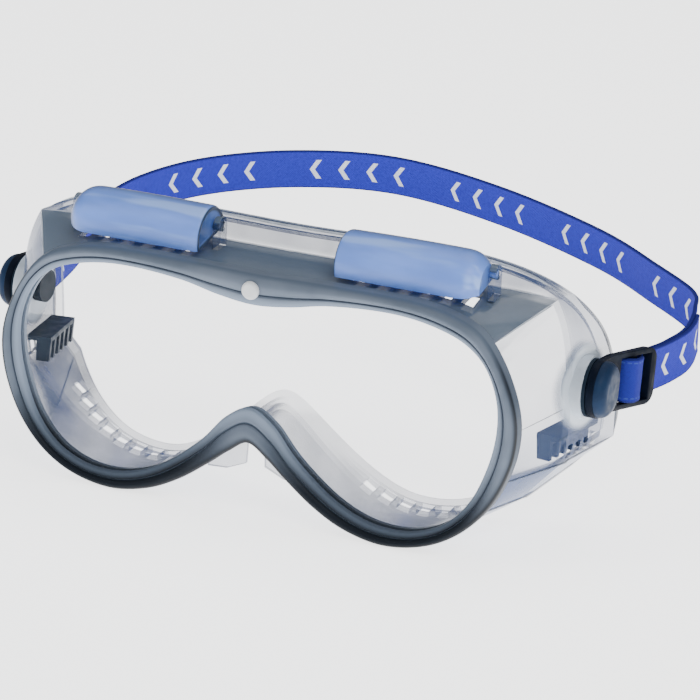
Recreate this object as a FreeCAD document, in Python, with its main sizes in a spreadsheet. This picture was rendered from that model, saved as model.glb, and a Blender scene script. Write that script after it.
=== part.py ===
"""Safety goggles with hooded brow vents and an elastic headband.

Millimetres. +Z is up, -Y is the side the lens faces, +X is the wearer's left. The goggles stand on the
two lobes of the rim and the two cheek walls, and the origin is on that surface, at the middle of the
footprint of the whole object. Outlines are written as seen from the front, with heights measured from
the stud on the bridge of the rim, and they are mirrored about x = 0.
"""
import FreeCAD, Part
import math
import os

import Sketcher

Vector = FreeCAD.Vector
Rotation = FreeCAD.Rotation
Placement = FreeCAD.Placement

SIDES = (("left", -1), ("right", 1))
X_AXIS = Vector(1, 0, 0)
Y_AXIS = Vector(0, 1, 0)
Z_AXIS = Vector(0, 0, 1)

doc = FreeCAD.newDocument("safety_goggles")

# ---------------------------------------------------------------- driving dimensions

DIMENSIONS = (
    ("stud_height", 68.4, "bridge stud above the surface that the goggles stand on"),
    ("depth_centre", 90.7, "middle of the whole object, behind the front of the rim"),
    ("rim_depth", 7.0, "front of the bead to the back of the rim"),
    ("wall", 1.8, "thickness of the soft shell"),
    ("window_width", 4.0, "vent window in the cheek, along the edge"),
    ("window_long", 5.0, "vent window in the cheek, front to back"),
    ("window_rail", 2.2, "rail left behind the vent windows"),
    ("window_pitch", 6.1, "spacing of the vent windows"),
    ("lip_width", 3.4, "width of the lip that lies on the face"),
    ("lens_thick", 2.0, "lens thickness"),
    ("lens_front", 3.2, "front of the lens behind the front of the rim"),
    ("stud_radius", 2.65, "head of the bridge stud"),
    ("stud_rise", 1.2, "height of the stud's domed head"),
    ("stud_shank", 1.3, "radius of the stud's shank"),
    ("stud_washer_radius", 2.2, "retaining washer behind the rim"),
    ("stud_washer_thick", 1.0, "retaining washer thickness"),
    ("hood_radius", 9.0, "outside radius of a vent hood"),
    ("hood_length", 42.5, "length of a vent hood"),
    ("hood_start", 21.0, "inner end of a hood from the middle"),
    ("hood_wall", 1.4, "thickness of a hood"),
    ("hood_depth", 17.2, "axis of the hood's curve behind the front of the rim"),
    ("hood_rise", 8.0, "axis of the hood's curve above the stud"),
    ("hood_rear_lift", 10.0, "degrees that the rear edge of a hood is above its axis"),
    ("hood_front_drop", 17.0, "degrees that the front edge of a hood is below its axis"),
    ("pin_radius", 1.5, "pin at each end of a hood"),
    ("pin_length", 2.1, "how far a hood pin stands out"),
    ("pin_depth", 19.5, "hood pins behind the front of the rim"),
    ("pin_rise", 10.8, "hood pins above the stud"),
    ("pin_play", 0.06, "radial clearance of a hood pin in its socket"),
    ("socket_thick", 2.0, "thickness of a hood pin socket"),
    ("socket_gap", 0.4, "hood end to its socket"),
    ("pivot_depth", 34.0, "strap buttons behind the front of the rim"),
    ("pivot_drop", 21.8, "strap buttons below the stud"),
    ("boss_face", 90.2, "outer face of the button boss from the middle"),
    ("boss_radius", 9.0, "button boss on the side wall"),
    ("boss_thick", 4.0, "thickness of that boss"),
    ("firm_fit", 0.02, "radial clearance of a shank in its washer"),
    ("head_radius", 5.0, "strap button head inside the wall"),
    ("head_thick", 3.0, "strap button head thickness"),
    ("shank_radius", 2.5, "strap button shank"),
    ("shank_play", 0.06, "radial clearance of the shank in the clip"),
    ("washer_radius", 8.4, "button washer"),
    ("washer_thick", 1.0, "button washer thickness"),
    ("clip_gap", 0.2, "running gap beside the button washer"),
    ("clip_plate", 2.2, "thickness of the clip"),
    ("clip_round", 8.4, "radius of the clip's round end"),
    ("clip_reach", 28.0, "round end's centre to the far end of the clip"),
    ("clip_height", 16.8, "height of the clip's frame"),
    ("clip_bend", 7.5, "round end's centre to the bend in the clip"),
    ("slot_near", 11.5, "front slot of the clip, from its round end's centre"),
    ("bar_near", 16.0, "near side of the bar that the webbing goes round"),
    ("bar_far", 18.5, "far side of that bar"),
    ("slot_far", 25.4, "far side of the rear slot"),
    ("clip_splay", 16.0, "degrees that the frame turns outwards"),
    ("clip_droop", 5.0, "degrees that the clip hangs below level"),
    ("window_height", 13.7, "height of the slots in the clip"),
    ("clip_corner", 3.6, "radius of the frame's far corners"),
    ("cap_edge", 4.7, "straight edge of the cap, from the round end's centre"),
    ("cap_radius", 8.1, "domed cap on the clip"),
    ("dome_edge", 0.25, "straight edge below a domed face"),
    ("cap_rise", 3.4, "height of the domed cap"),
    ("strap_width", 13.0, "width of the elastic webbing"),
    ("strap_thick", 1.2, "thickness of the elastic webbing"),
    ("strap_tail", 36.0, "length of webbing doubled back at each clip"),
    ("vent_length", 22.0, "length of a side vent box"),
    ("vent_depth", 4.6, "depth of a side vent box"),
    ("vent_plate", 1.4, "thickness of its top and back"),
    ("vent_drop", 7.6, "height of a side vent box"),
    ("tooth_thick", 1.5, "thickness of a tooth"),
    ("vent_reach", 3.9, "how far its top plate reaches out to the side wall"),
    ("vent_face", 82.3, "back of a side vent box from the middle"),
    ("vent_start", 26.0, "front end of a side vent behind the front of the rim"),
    ("vent_top", 35.4, "top of a side vent below the stud"),
    ("vent_flare", 10.0, "degrees that a side vent turns outwards towards the back"),
    ("flap_thick", 1.2, "thickness of a nose flap"),
    ("flap_depth", 8.0, "front of a nose flap behind the front of the rim"),
)

sheet = doc.addObject("Spreadsheet::Sheet", "Sheet")
for row, (alias, value, meaning) in enumerate(DIMENSIONS, start=1):
    sheet.set("A%d" % row, meaning)
    sheet.set("B%d" % row, str(value))
    sheet.setAlias("B%d" % row, alias)
doc.recompute()


def size(alias):
    """The value of a driving dimension."""
    return float(getattr(sheet, alias))


STUD = size("stud_height")


def at(x, y, rise):
    """A point given by its height above or below the stud."""
    return Vector(x, y, STUD + rise)


def mirror(point):
    return Vector(-point.x, point.y, point.z)


# ---------------------------------------------------------------- outlines of the rim

# Half outlines from the top centre over the lobe to the nose, matched point by point (x, rise).
LENS_OPENING = (
    (0, -5.1), (11, -3.9), (22, -1.6), (35, -0.4), (46, -0.5), (56, -2.2), (64, -5.2), (70, -10.4),
    (73.7, -18.6), (74.6, -27.6), (72.9, -38.1), (68.4, -49.6), (61.5, -57.8), (52.5, -62.2), (43, -63),
    (34, -61), (25, -56.2), (15, -48), (7.5, -39.6), (0, -35.6),
)
RIM_OUTSIDE = (
    (0, 3.9), (13, 4.2), (24, 4.4), (36, 4.5), (48, 4.2), (58.5, 2.5), (67.5, -1.4), (74, -9.4),
    (78.8, -20), (80.4, -29.5), (78.8, -40), (73.8, -51.2), (66, -60.2), (56, -66), (43.5, -68.4),
    (31.5, -66.3), (21.5, -61.5), (12.5, -55), (6.5, -50.2), (0, -46.3),
)

# Section of the rim: share of the way from opening to outside, and depth behind the front.
BEAD_SECTION = (
    (0.0, 3.1), (0.03, 2.2), (0.12, 1.6), (0.28, 1.4), (0.36, 1.9), (0.44, 0.9), (0.56, 0.2), (0.7, 0.0),
    (0.84, 0.5), (0.95, 1.8), (1.0, 3.6), (1.0, 7.0), (0.06, 7.0), (0.03, 5.3), (0.38, 5.3), (0.38, 3.1),
)
LENS_EDGE_SHARE = 0.34


def rim_line(share, depth):
    """Half outline at a share of the way from the lens opening to the outside of the rim."""
    points = []
    for (x_in, z_in), (x_out, z_out) in zip(LENS_OPENING, RIM_OUTSIDE):
        x = x_in + share * (x_out - x_in)
        rise = z_in + share * (z_out - z_in)
        points.append(at(x, depth, rise))
    return points


# ---------------------------------------------------------------- solids from closed rings

def spline_edge(points):
    """A smooth edge through the points, or a straight one through two."""
    if len(points) == 2:
        return Part.LineSegment(points[0], points[1]).toShape()
    curve = Part.BSplineCurve()
    curve.interpolate(points)
    return curve.toShape()


def whole_ring(half_stretches):
    """Edges of a closed ring from its right half, given as stretches that meet at creases."""
    edges = []
    first = half_stretches[0]
    last = half_stretches[-1]
    edges.append(spline_edge([mirror(p) for p in reversed(first[1:])] + list(first)))
    for stretch in half_stretches[1:-1]:
        edges.append(spline_edge(list(stretch)))
    edges.append(spline_edge(list(last) + [mirror(p) for p in reversed(last[:-1])]))
    for stretch in reversed(half_stretches[1:-1]):
        edges.append(spline_edge([mirror(p) for p in reversed(stretch)]))
    return edges


def solid_between(rings):
    """A solid whose skin joins each ring of edges to the next, and the last to the first."""
    faces = []
    for ring, following in zip(rings, rings[1:] + rings[:1]):
        for edge, other in zip(ring, following):
            faces.append(Part.makeRuledSurface(edge, other))
    shell = Part.Shell(faces)
    shell.sewShape()
    solid = Part.Solid(shell)
    if solid.Volume < 0:
        solid.reverse()
    return solid


def add_shape(label, shape):
    """A sub-part whose form only Part's own functions can make."""
    feature = doc.addObject("Part::Feature", label)
    feature.Shape = shape
    feature.Label = label
    return feature


# ---------------------------------------------------------------- rim, lens and stud

def stud_axis_cylinder(radius, start, length):
    """Cylinder along +Y on the stud's axis."""
    return Part.makeCylinder(radius, length, at(0, start, 0), Y_AXIS)


def make_rim():
    """Double-lobed bead with a groove for the lens."""
    split = 8
    rings = []
    for share, depth in BEAD_SECTION:
        line = rim_line(share, depth)
        rings.append(whole_ring([line[:split + 1], line[split:]]))
    solid = solid_between(rings)
    hole = stud_axis_cylinder(size("stud_shank") + size("firm_fit"), -1, size("rim_depth") + 2)
    return add_shape("lens_rim", solid.cut(hole))


def make_lens():
    """Flat lens in the rim's groove, with a hole in its top edge for the stud."""
    body = doc.addObject("PartDesign::Body", "lens")
    body.Label = "lens"
    sketch = front_sketch(body, "lens_outline", size("lens_front"))
    half = rim_line(LENS_EDGE_SHARE, 0)
    loop = half + [mirror(p) for p in reversed(half[1:-1])]
    curve = Part.BSplineCurve()
    curve.interpolate([Vector(p.x, p.z, 0) for p in loop], PeriodicFlag=True)
    sketch.addGeometry(curve, False)
    pad = body.newObject("PartDesign::Pad", "lens_pad")
    pad.Profile = sketch
    pad.setExpression("Length", "Sheet.lens_thick")
    pad.Reversed = True
    hole = front_sketch(body, "stud_hole", size("lens_front"))
    hole.addGeometry(Part.Circle(Vector(0, STUD, 0), Z_AXIS, size("stud_shank")), False)
    add_constraint(hole, Sketcher.Constraint("Radius", 0, size("stud_shank")), "Sheet.stud_shank + 0.05")
    add_constraint(hole, Sketcher.Constraint("DistanceX", -1, 1, 0, 3, 0.0), None)
    add_constraint(hole, Sketcher.Constraint("DistanceY", -1, 1, 0, 3, STUD), "Sheet.stud_height")
    pocket = body.newObject("PartDesign::Pocket", "stud_hole_cut")
    pocket.Profile = hole
    pocket.Type = "ThroughAll"
    pocket.Midplane = True
    body.Tip = pocket
    return body


def make_stud():
    """Domed head and shank, one moulding."""
    head = domed_disc("stud_head", "stud_radius", "stud_rise", at(0, 0, 0), Y_AXIS * -1)
    shank = axis_cylinder("stud_shank_rod", "Sheet.stud_shank", "Sheet.rim_depth + 1.6", at(0, 0, 0), Y_AXIS)
    stud = doc.addObject("Part::Fuse", "lens_stud")
    stud.Base = head
    stud.Tool = shank
    stud.Label = "lens_stud"
    return stud


def make_stud_washer():
    """Washer that holds the stud from behind."""
    where = at(0, size("rim_depth"), 0)
    disc = axis_cylinder("stud_washer_disc", "Sheet.stud_washer_radius", "Sheet.stud_washer_thick",
                         where, Y_AXIS)
    hole = axis_cylinder("stud_washer_hole", "Sheet.stud_shank + Sheet.firm_fit", "Sheet.stud_washer_thick",
                         where, Y_AXIS)
    return cut("stud_washer", disc, hole)


# ---------------------------------------------------------------- small helpers for features

def axis_cylinder(name, radius, height, base, direction):
    """Part cylinder whose radius and height are expressions, from base along direction."""
    cylinder = doc.addObject("Part::Cylinder", name)
    cylinder.setExpression("Radius", radius)
    cylinder.setExpression("Height", height)
    cylinder.Placement = Placement(base, Rotation(Z_AXIS, direction))
    return cylinder


def domed_disc(name, radius, rise, base, direction):
    """Disc with its outer edge rounded over, its radius and rise named by two aliases."""
    disc = axis_cylinder(name + "_disc", "Sheet." + radius, "Sheet." + rise, base, direction)
    doc.recompute()
    heights = [edge.CenterOfMass.dot(direction) for edge in disc.Shape.Edges]
    top = heights.index(max(heights)) + 1
    rounding = size(rise) - size("dome_edge")
    dome = doc.addObject("Part::Fillet", name)
    dome.Base = disc
    dome.Edges = [(top, rounding, rounding)]
    return dome


def cut(label, base, tool):
    """base minus tool, as a document object."""
    result = doc.addObject("Part::Cut", label)
    result.Base = base
    result.Tool = tool
    result.Label = label
    return result


def origin_plane(body, role):
    """One of a body's own origin planes."""
    for feature in body.Origin.OriginFeatures:
        if feature.Role == role:
            return feature
    raise ValueError(role)


def plane_sketch(body, name, role, offset):
    """Sketch on an origin plane of its body, moved along the plane's normal by offset."""
    sketch = body.newObject("Sketcher::SketchObject", name)
    sketch.AttachmentSupport = (origin_plane(body, role), [""])
    sketch.MapMode = "FlatFace"
    sketch.AttachmentOffset = Placement(Vector(0, 0, offset), Rotation())
    return sketch


def front_sketch(body, name, depth):
    """Sketch in the plane that faces forwards, at a depth behind the front of the rim."""
    return plane_sketch(body, name, "XZ_Plane", -depth)


def add_constraint(sketch, constraint, expression):
    """Add a constraint, driven by an expression if there is one."""
    index = sketch.addConstraint(constraint)
    if expression is not None:
        sketch.setExpression("Constraints[%d]" % index, expression)


def pinned_polygon(sketch, corners):
    """Closed polygon whose corners are pairs of expressions, each held by two driven distances."""
    values = []
    for pair in corners:
        values.append(tuple(float(sketch.evalExpression(text)) for text in pair))
    first = sketch.GeometryCount
    count = len(values)
    for index, (x, y) in enumerate(values):
        x_next, y_next = values[(index + 1) % count]
        line = Part.LineSegment(Vector(x, y, 0), Vector(x_next, y_next, 0))
        sketch.addGeometry(line, False)
    for index in range(count):
        following = first + (index + 1) % count
        sketch.addConstraint(Sketcher.Constraint("Coincident", first + index, 2, following, 1))
    for index, (pair, value) in enumerate(zip(corners, values)):
        for kind, text, number in zip(("DistanceX", "DistanceY"), pair, value):
            constraint = Sketcher.Constraint(kind, -1, 1, first + index, 1, number)
            add_constraint(sketch, constraint, text)


def pad(body, name, sketch, length, midplane=False, reverse=False):
    """Pad with its length given by an expression."""
    feature = body.newObject("PartDesign::Pad", name)
    feature.Profile = sketch
    feature.setExpression("Length", length)
    feature.Midplane = midplane
    feature.Reversed = reverse
    return feature


def pocket_through(body, name, sketch):
    """Pocket that cuts through the whole body, both ways."""
    feature = body.newObject("PartDesign::Pocket", name)
    feature.Profile = sketch
    feature.Type = "ThroughAll"
    feature.Midplane = True
    return feature


# ---------------------------------------------------------------- soft shell

# Right halves of the shell's rings (x, depth, rise): over the brow to the upper crease, down the
# temple to the lower crease, across the facet to the bottom corner, and along the cheek to the nose.
RIM_BACK = (
    ((0, 7, 3.3), (20, 7, 3.5), (40, 7, 3.7), (54, 7, 2.8), (63, 7, -0.2), (69.8, 7, -5.6)),
    ((69.8, 7, -5.6), (74.6, 7, -14), (78.4, 7, -26), (78, 7, -35), (74.6, 7, -45.4)),
    ((74.6, 7, -45.4), (68.6, 7, -55.6)),
    ((68.6, 7, -55.6), (63, 7, -60.6), (56.5, 7, -64.5), (50, 7, -66.6), (43.5, 7, -67.3),
     (36.5, 7, -66.4), (29.5, 7, -64), (23, 7, -60.9), (16.5, 7, -56.6), (11, 7, -52.4),
     (5.5, 7, -48), (0, 7, -45)),
)
LEDGE_REAR = (
    ((0, 26, 4.9), (20, 26, 5), (40, 26, 5), (56, 26, 5), (71, 26, 5), (81.4, 26, 4.4)),
    ((81.4, 26, 4.4), (85.7, 26, -6.6), (87.3, 26, -20.6), (87.3, 26, -33.6), (85.9, 26, -43)),
    ((85.9, 26, -43), (74.8, 26, -55.5)),
    ((74.8, 26, -55.5), (67.4, 26, -61), (59, 26, -65.3), (51, 26, -67.6), (44, 26, -68.3),
     (37, 26, -67.5), (30, 26, -65), (23.3, 26, -61), (16.7, 26, -56), (11, 26, -51.2),
     (5.5, 26, -46.2), (0, 26, -43.1)),
)
STEP_TOP = (
    ((0, 28, 11.7), (20, 28, 12), (40, 28.3, 12.2), (56, 29, 11.7), (70.5, 30, 9.1), (81.4, 31, 4.2)),
    ((81.4, 31, 4.2), (86.4, 31, -6.6), (88.1, 31, -20.6), (88.2, 31, -33.6), (86.8, 31, -42.8)),
    ((86.8, 31, -42.8), (76.4, 31, -55)),
    ((76.4, 31, -55), (68.5, 31, -61), (59.7, 31, -65.4), (51, 31, -67.8), (44, 31, -68.4),
     (37, 30, -67.5), (30, 29, -65), (23.3, 28.5, -60.8), (16.7, 28, -55.6), (11, 27.5, -50.6),
     (5.5, 27, -45.6), (0, 27, -42.4)),
)
FACE_EDGE = (
    ((0, 32, 11.6), (20, 32, 11.9), (40, 32.5, 12.1), (56, 33, 11.6), (70.5, 35, 8.6), (81.4, 39, 2.8)),
    ((81.4, 39, 2.8), (88, 46, -7.6), (90.9, 51, -19.6), (91.9, 54, -31.6), (91.6, 54, -42.1)),
    ((91.6, 54, -42.1), (83.8, 53, -49.1)),
    ((83.8, 53, -49.1), (75.5, 46, -56.2), (66, 40.5, -62.2), (55, 37.2, -66.8), (44, 36.2, -68.4),
     (37, 35.2, -67.4), (30, 34, -64.4), (23.3, 32.6, -60), (16.7, 31.2, -54.6), (11, 30, -49.4),
     (5.5, 29, -44.4), (0, 28.5, -41.6)),
)


def between(ring, other, share):
    """Stretches a share of the way from one ring's to another's."""
    blended = []
    for stretch, far in zip(ring, other):
        pairs = zip(stretch, far)
        blended.append(tuple(tuple(a + share * (b - a) for a, b in zip(p, q)) for p, q in pairs))
    return tuple(blended)


def half_outline(stretches):
    """Points of a right half in order, with the shared crease points once."""
    points = [at(*stretches[0][0])]
    for stretch in stretches:
        points.extend(at(*p) for p in stretch[1:])
    return points


def inset(points, distance):
    """A half outline moved inwards by a distance, square to its own line as seen from the front."""
    moved = []
    for index, point in enumerate(points):
        before = points[index - 1] if index else mirror(points[1])
        after = points[index + 1] if index + 1 < len(points) else mirror(points[-2])
        arriving = Vector(point.x - before.x, 0, point.z - before.z).normalize()
        leaving = Vector(after.x - point.x, 0, after.z - point.z).normalize()
        normal_in = Vector(arriving.z, 0, -arriving.x)
        normal_out = Vector(leaving.z, 0, -leaving.x)
        middle = (normal_in + normal_out).normalize()
        moved.append(point + middle * (distance / max(middle.dot(normal_in), 0.6)))
    return moved


def shell_ring(stretches, distance=0.0, brow_shift=0.0):
    """Edges of one ring of the shell, moved inwards, with the brow also moved back."""
    points = half_outline(stretches)
    if distance:
        points = inset(points, distance)
    brow_count = len(stretches[0])
    for index in range(brow_count):
        fade = 1.0 - index / (brow_count - 1.0)
        points[index] = points[index] + Y_AXIS * (brow_shift * min(1.0, 2 * fade))
    halves = []
    start = 0
    for stretch in stretches:
        end = start + len(stretch)
        halves.append(points[start:end])
        start = end - 1
    return whole_ring(halves)


def hood_socket(x_centre):
    """Upright on the ledge with a bore for one pin of a hood."""
    thick = size("socket_thick")
    radius = 2.7
    root = 3.4
    x = x_centre - thick / 2
    post = Part.makeBox(thick, 2 * radius, size("pin_rise") - root, at(x, size("pin_depth") - radius, root))
    crown = Part.makeCylinder(radius, thick, at(x, size("pin_depth"), size("pin_rise")), X_AXIS)
    return post.fuse(crown)


def socket_bore(x_centre):
    """Bore through a hood socket."""
    radius = size("pin_radius") + size("pin_play")
    return Part.makeCylinder(radius, 8, at(x_centre - 4, size("pin_depth"), size("pin_rise")), X_AXIS)


def socket_centres():
    """Middles of the inner and outer sockets of the right hood."""
    offset = size("socket_gap") + size("socket_thick") / 2
    start = size("hood_start")
    return (start - offset, start + size("hood_length") + offset)


def cheek_windows():
    """Cutters for the ladder of windows along the rear of the cheek wall, on the right."""
    cutters = []
    width = size("window_width")
    long = size("window_long")
    line = spline_edge([at(*p) for p in FACE_EDGE[3]])
    for number in range(10):
        parameter = line.getParameterByLength(12.5 + size("window_pitch") * number)
        point = line.valueAt(parameter)
        tangent = line.tangentAt(parameter)
        turn = math.degrees(math.atan2(tangent.z, tangent.x))
        window = Part.makeBox(width, long, 14.0, Vector(-width / 2, 0, -7.0))
        start = point.y - size("window_rail") - long
        window.Placement = Placement(Vector(point.x, start, point.z), Rotation(Y_AXIS, -turn))
        cutters.append(window)
    return cutters


def ledge_slots():
    """Cutters for the row of air slots under the right hood."""
    cutters = []
    for number in range(6):
        x = size("hood_start") + 4.5 + 6.5 * number
        cutters.append(Part.makeBox(3.6, 8.5, 8, at(x, 12.5, 0)))
    return cutters


def temple_slots():
    """Cutters for the air slots behind the right side vent."""
    cutters = []
    for number in range(4):
        cutters.append(Part.makeBox(14, 2.6, 4.2, at(78, 27.5 + 4.4 * number, -42)))
    return cutters


def both_sides(shapes):
    """The shapes and their mirror images about x = 0."""
    return shapes + [s.mirror(Vector(0, 0, 0), X_AXIS) for s in shapes]


def make_skirt():
    """Soft shell: ledge, step, temples, cheeks, nose arch and face lip, with every opening cut."""
    wall = size("wall")
    lip = size("lip_width")
    outside = [shell_ring(RIM_BACK), shell_ring(LEDGE_REAR), shell_ring(STEP_TOP), shell_ring(FACE_EDGE)]
    inside = [shell_ring(FACE_EDGE, lip), shell_ring(between(STEP_TOP, FACE_EDGE, 0.92), lip),
              shell_ring(between(STEP_TOP, FACE_EDGE, 0.8), wall), shell_ring(STEP_TOP, wall, 1.7),
              shell_ring(LEDGE_REAR, wall, 1.7), shell_ring(RIM_BACK, wall)]
    solid = solid_between(outside + inside)
    pivot = at(0, size("pivot_depth"), -size("pivot_drop"))
    bosses = []
    bores = []
    for x in socket_centres():
        bosses.append(hood_socket(x))
        bores.append(socket_bore(x))
    boss_start = size("boss_face") - size("boss_thick")
    boss = Part.makeCylinder(size("boss_radius"), size("boss_thick"), pivot + X_AXIS * boss_start, X_AXIS)
    bosses.append(boss)
    bores.append(Part.makeCylinder(size("shank_radius"), 12, pivot + X_AXIS * 80, X_AXIS))
    bores.append(Part.makeCylinder(size("head_radius") + 0.2, 5, pivot + X_AXIS * (boss_start - 5), X_AXIS))
    solid = solid.multiFuse(both_sides(bosses))
    cutters = both_sides(bores + cheek_windows() + ledge_slots() + temple_slots())
    cutters.append(stud_axis_cylinder(size("stud_washer_radius") + 0.2, 6.5, 3.5))
    return add_shape("frame_skirt", solid.cut(Part.makeCompound(cutters)))


# Corners of a nose flap (x, rise), on the right: its upper edge runs into the arch of the shell.
NOSE_FLAP = ((2.6, -45.2), (6, -47.4), (11, -51.4), (15.4, -55.2), (15, -57.6), (9, -57.2), (3, -54.6))


def fitted(label, body, skirt):
    """The body with its edge trimmed to lie on the curved wall of the shell."""
    doc.recompute()
    return add_shape(label, body.Shape.cut(skirt.Shape))


def make_nose_flap(name, side, skirt):
    """Thin flap that hangs under the nose arch."""
    body = doc.addObject("PartDesign::Body", "flap_body_" + name)
    sketch = front_sketch(body, "flap_outline_" + name, size("flap_depth"))
    corners = []
    for x, rise in NOSE_FLAP:
        corners.append(("%g" % (side * x), "Sheet.stud_height + %g" % rise))
    pinned_polygon(sketch, corners)
    body.Tip = pad(body, "flap_pad_" + name, sketch, "Sheet.flap_thick", reverse=True)
    return fitted("nose_flap_" + name, body, skirt)


# ---------------------------------------------------------------- vents

def make_hood(name, side):
    """Part-cylinder hood, closed at its ends, with a pin at each end."""
    start = size("hood_start") if side > 0 else -size("hood_start") - size("hood_length")
    sweep = "180 - Sheet.hood_rear_lift + Sheet.hood_front_drop"
    roll = Rotation(X_AXIS, size("hood_rear_lift"))
    upright = Rotation(Vector(0, 1, 0), Vector(0, 0, 1), Vector(1, 0, 0), "ZXY")
    outer = doc.addObject("Part::Cylinder", "hood_outer_" + name)
    outer.setExpression("Radius", "Sheet.hood_radius")
    outer.setExpression("Height", "Sheet.hood_length")
    outer.setExpression("Angle", sweep)
    outer.Placement = Placement(at(start, size("hood_depth"), size("hood_rise")), roll * upright)
    inner = doc.addObject("Part::Cylinder", "hood_inner_" + name)
    inner.setExpression("Radius", "Sheet.hood_radius - Sheet.hood_wall")
    inner.setExpression("Height", "Sheet.hood_length - 2 * Sheet.hood_wall")
    centre = at(start + size("hood_wall"), size("hood_depth"), size("hood_rise"))
    inner.Placement = Placement(centre, roll * upright)
    shell = cut("hood_shell_" + name, outer, inner)
    pin_base = at(start, size("pin_depth"), size("pin_rise"))
    pins = []
    for end, offset in (("inner", -size("pin_length")), ("outer", size("hood_length") - size("hood_wall"))):
        pins.append(axis_cylinder("hood_pin_%s_%s" % (end, name), "Sheet.pin_radius",
                                  "Sheet.pin_length + Sheet.hood_wall", pin_base + X_AXIS * offset, X_AXIS))
    hood = doc.addObject("Part::MultiFuse", "hood_" + name)
    hood.Shapes = [shell] + pins
    hood.Label = "hood_" + name
    return hood


def make_side_vent(name, side, skirt):
    """Toothed louvre box inside a side wall, its top plate joined to the wall."""
    body = doc.addObject("PartDesign::Body", "vent_body_" + name)
    back = plane_sketch(body, "vent_section_" + name, "YZ_Plane", 0)
    pinned_polygon(back, (
        ("-Sheet.vent_reach", "0"), ("Sheet.vent_depth", "0"), ("Sheet.vent_depth", "-Sheet.vent_plate"),
        ("Sheet.vent_plate", "-Sheet.vent_plate"), ("Sheet.vent_plate", "-Sheet.vent_plate * 2"),
        ("0", "-Sheet.vent_plate * 2"), ("0", "-Sheet.vent_plate"), ("-Sheet.vent_reach", "-Sheet.vent_plate"),
    ))
    pad(body, "vent_top_" + name, back, "Sheet.vent_length")
    doc.recompute()
    tooth = plane_sketch(body, "tooth_section_" + name, "YZ_Plane", 0)
    pinned_polygon(tooth, (
        ("0", "-Sheet.vent_plate / 2"), ("Sheet.vent_depth", "-Sheet.vent_plate / 2"),
        ("Sheet.vent_depth - 0.6", "-Sheet.vent_drop"), ("0", "-Sheet.vent_drop"),
    ))
    teeth = pad(body, "vent_tooth_" + name, tooth, "Sheet.tooth_thick")
    doc.recompute()
    pattern = body.newObject("PartDesign::LinearPattern", "vent_teeth_" + name)
    pattern.Originals = [teeth]
    pattern.Direction = (tooth, ["N_Axis"])
    pattern.setExpression("Length", "Sheet.vent_length - Sheet.tooth_thick")
    pattern.Occurrences = 6
    body.Tip = pattern
    if side > 0:
        body.Placement = Placement(at(size("vent_face"), size("vent_start"), -size("vent_top")),
                                   Rotation(Z_AXIS, 90 - size("vent_flare")))
    else:
        turn = math.radians(size("vent_flare"))
        x = -size("vent_face") - size("vent_length") * math.sin(turn)
        y = size("vent_start") + size("vent_length") * math.cos(turn)
        body.Placement = Placement(at(x, y, -size("vent_top")), Rotation(Z_AXIS, -90 + size("vent_flare")))
    return fitted("side_vent_" + name, body, skirt)


# ---------------------------------------------------------------- headband

def side_cylinder(name, radius, height, x, side):
    """Cylinder on the button axis from x outwards, on one side."""
    base = at(side * x, size("pivot_depth"), -size("pivot_drop"))
    return axis_cylinder(name, radius, height, base, X_AXIS * side)


def make_button(name, side):
    """Strap button: a broad head inside the wall and a shank out through it."""
    head_start = size("boss_face") - size("boss_thick") - size("head_thick")
    head = side_cylinder("button_head_" + name, "Sheet.head_radius", "Sheet.head_thick", head_start, side)
    shank = side_cylinder("button_shank_" + name, "Sheet.shank_radius", "Sheet.head_thick + 8.0",
                          head_start, side)
    button = doc.addObject("Part::Fuse", "strap_button_" + name)
    button.Base = head
    button.Tool = shank
    button.Label = "strap_button_" + name
    return button


def make_button_washer(name, side):
    """Flat disc between the side wall and the clip."""
    start = size("boss_face")
    disc = side_cylinder("washer_disc_" + name, "Sheet.washer_radius", "Sheet.washer_thick", start, side)
    hole = side_cylinder("washer_hole_" + name, "Sheet.shank_radius + Sheet.firm_fit", "Sheet.washer_thick",
                         start, side)
    return cut("button_washer_" + name, disc, hole)


def clip_inner_face():
    """Distance from the middle to the inner face of a clip's round end."""
    return size("boss_face") + size("washer_thick") + size("clip_gap")


def cut_corner(sketch, radius, centre, top, way, up):
    """Outline of what lies outside a rounded corner of a plate of half height top."""
    level = top - radius
    start = Vector(centre, up * top, 0)
    middle = Vector(centre + way * radius * math.sqrt(0.5), up * (level + radius * math.sqrt(0.5)), 0)
    end = Vector(centre + way * radius, up * level, 0)
    near = Vector(centre, up * (top + 1), 0)
    beyond = Vector(end.x + way, up * (top + 1), 0)
    outside = Vector(end.x + way, up * level, 0)
    sketch.addGeometry(Part.Arc(start, middle, end), False)
    for a, b in ((end, outside), (outside, beyond), (beyond, near), (near, start)):
        sketch.addGeometry(Part.LineSegment(a, b), False)


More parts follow.
